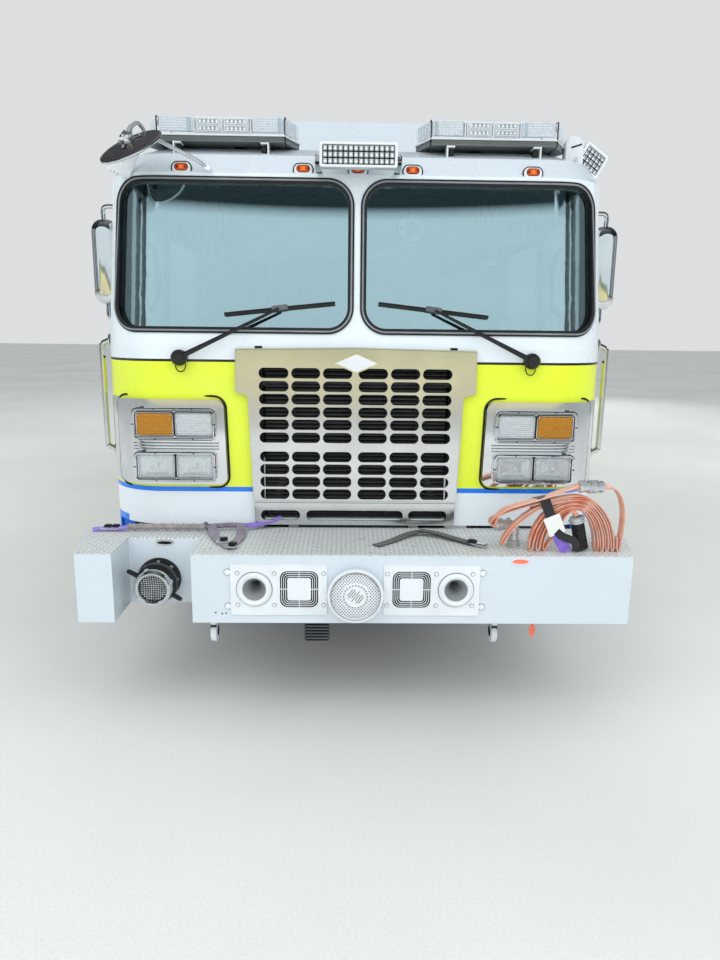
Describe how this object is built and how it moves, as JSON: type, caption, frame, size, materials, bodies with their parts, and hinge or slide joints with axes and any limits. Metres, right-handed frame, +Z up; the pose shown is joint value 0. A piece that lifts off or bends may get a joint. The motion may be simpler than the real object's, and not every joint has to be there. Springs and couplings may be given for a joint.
{
  "type": "pumper fire truck",
  "caption": "Pumper fire truck with a long four-door cab, treaded bumper deck, pump panel, side lockers and an open hose bed.",
  "frame": {"origin": "on the ground, at the centre of the truck's bounding box", "axes": "+Z up, +X towards the truck's left side, -Y towards its nose"},
  "size_m": [2.68, 9.48, 2.86],
  "materials": {
    "aluminium": "brushed",
    "amber_lens": "gloss",
    "black_paint": "satin",
    "black_plastic": "matte",
    "bumper_paint": "satin",
    "cast_iron": "cast",
    "chrome": "polished",
    "clear_lens": "gloss",
    "grey_plastic": "matte",
    "hose_jacket": "woven",
    "polished_steel": "polished",
    "red_lens": "gloss",
    "rubber": "matte",
    "seat_fabric": "woven",
    "tread_plate": "tread plate",
    "tyre": "matte",
    "white_paint": "gloss",
    "window_glass": "gloss"
  },
  "bodies": {
    "truck": {"amber_lamps": "amber_lens", "body_sides": "white_paint", "bumper_deck": "tread_plate", "cab_back_wall": "white_paint", "cab_floor": "grey_plastic", "cab_front": "white_paint", "cab_roof": "white_paint", "cab_sides": "white_paint", "clear_lamps": "clear_lens", "dashboard": "grey_plastic", "engine": "cast_iron", "fixed_windows": "window_glass", "frame_rails": "black_paint", "front_axle": "black_paint", "front_bumper": "bumper_paint", "front_intake": "black_plastic", "grille": "polished_steel", "headlight_bezels": "chrome", "horn_plates": "aluminium", "hose_bed": "white_paint", "hose_coil": "hose_jacket", "hose_couplings": "aluminium", "light_bars": "clear_lens", "nose_mirror": "black_plastic", "pump_fittings": "chrome", "pump_house": "aluminium", "radiator": "black_paint", "rear_axle": "black_paint", "red_lamps": "red_lens", "seats": "seat_fabric", "siren": "aluminium", "tail_locker": "tread_plate", "water_tank": "black_plastic", "window_gaskets": "rubber", "wipers": "black_plastic"},
    "front_door_left": {"front_door_left": "white_paint", "front_door_pane_left": "window_glass", "mirror_left": "chrome"},
    "rear_door_left": {"rear_door_left": "white_paint", "rear_door_pane_left": "window_glass"},
    "knuckle_left": {"knuckle_left": "black_paint"},
    "front_wheel_left": {"front_rim_left": "aluminium", "front_tyre_left": "tyre"},
    "rear_wheels_left": {"rear_rims_left": "aluminium", "rear_tyres_left": "tyre"},
    "fore_locker_door_left": {"fore_locker_door_left": "white_paint"},
    "aft_locker_door_left": {"aft_locker_door_left": "white_paint"},
    "front_door_right": {"front_door_right": "white_paint", "front_door_pane_right": "window_glass", "mirror_right": "chrome"},
    "rear_door_right": {"rear_door_right": "white_paint", "rear_door_pane_right": "window_glass"},
    "knuckle_right": {"knuckle_right": "black_paint"},
    "front_wheel_right": {"front_rim_right": "aluminium", "front_tyre_right": "tyre"},
    "rear_wheels_right": {"rear_rims_right": "aluminium", "rear_tyres_right": "tyre"},
    "fore_locker_door_right": {"fore_locker_door_right": "white_paint"},
    "aft_locker_door_right": {"aft_locker_door_right": "white_paint"},
    "tail_locker_door": {"tail_locker_door": "white_paint"}
  },
  "joints": [
    {"name": "front_door_left_hinge", "type": "hinge", "parent": "truck", "child": "front_door_left", "pos_m": [1.21, -3.94, 1.2], "axis": [0, 0, -1], "range_deg": [0, 80]},
    {"name": "rear_door_left_hinge", "type": "hinge", "parent": "truck", "child": "rear_door_left", "pos_m": [1.21, -1.88, 1.2], "axis": [0, 0, -1], "range_deg": [0, 80]},
    {"name": "fore_locker_door_left_hinge", "type": "hinge", "parent": "truck", "child": "fore_locker_door_left", "pos_m": [1.255, 0.44, 1.1], "axis": [0, 0, -1], "range_deg": [0, 110]},
    {"name": "aft_locker_door_left_hinge", "type": "hinge", "parent": "truck", "child": "aft_locker_door_left", "pos_m": [1.255, 3.605, 1.65], "axis": [0, -1, 0], "range_deg": [0, 95]},
    {"name": "knuckle_left_steer", "type": "hinge", "parent": "truck", "child": "knuckle_left", "pos_m": [0.88, -2.6, 0.537], "axis": [0, 0, 1], "range_deg": [-38, 38]},
    {"name": "front_wheel_left_spin", "type": "hinge", "parent": "knuckle_left", "child": "front_wheel_left", "pos_m": [1.035, -2.6, 0.537], "axis": [1, 0, 0], "continuous": true},
    {"name": "rear_wheels_left_spin", "type": "hinge", "parent": "truck", "child": "rear_wheels_left", "pos_m": [0.895, 2.15, 0.537], "axis": [1, 0, 0], "continuous": true},
    {"name": "front_door_right_hinge", "type": "hinge", "parent": "truck", "child": "front_door_right", "pos_m": [-1.21, -3.94, 1.2], "axis": [0, 0, 1], "range_deg": [0, 80]},
    {"name": "rear_door_right_hinge", "type": "hinge", "parent": "truck", "child": "rear_door_right", "pos_m": [-1.21, -1.88, 1.2], "axis": [0, 0, 1], "range_deg": [0, 80]},
    {"name": "fore_locker_door_right_hinge", "type": "hinge", "parent": "truck", "child": "fore_locker_door_right", "pos_m": [-1.255, 0.44, 1.1], "axis": [0, 0, 1], "range_deg": [0, 110]},
    {"name": "aft_locker_door_right_hinge", "type": "hinge", "parent": "truck", "child": "aft_locker_door_right", "pos_m": [-1.255, 3.605, 1.65], "axis": [0, 1, 0], "range_deg": [0, 95]},
    {"name": "knuckle_right_steer", "type": "hinge", "parent": "truck", "child": "knuckle_right", "pos_m": [-0.88, -2.6, 0.537], "axis": [0, 0, 1], "range_deg": [-38, 38]},
    {"name": "front_wheel_right_spin", "type": "hinge", "parent": "knuckle_right", "child": "front_wheel_right", "pos_m": [-1.035, -2.6, 0.537], "axis": [1, 0, 0], "continuous": true},
    {"name": "rear_wheels_right_spin", "type": "hinge", "parent": "truck", "child": "rear_wheels_right", "pos_m": [-0.895, 2.15, 0.537], "axis": [1, 0, 0], "continuous": true},
    {"name": "tail_locker_door_hinge", "type": "hinge", "parent": "truck", "child": "tail_locker_door", "pos_m": [0, 4.45, 1.64], "axis": [1, 0, 0], "range_deg": [0, 95]}
  ],
  "couplings": [
    {"joint": "knuckle_right_steer", "follows": "knuckle_left_steer", "ratio": 1}
  ]
}
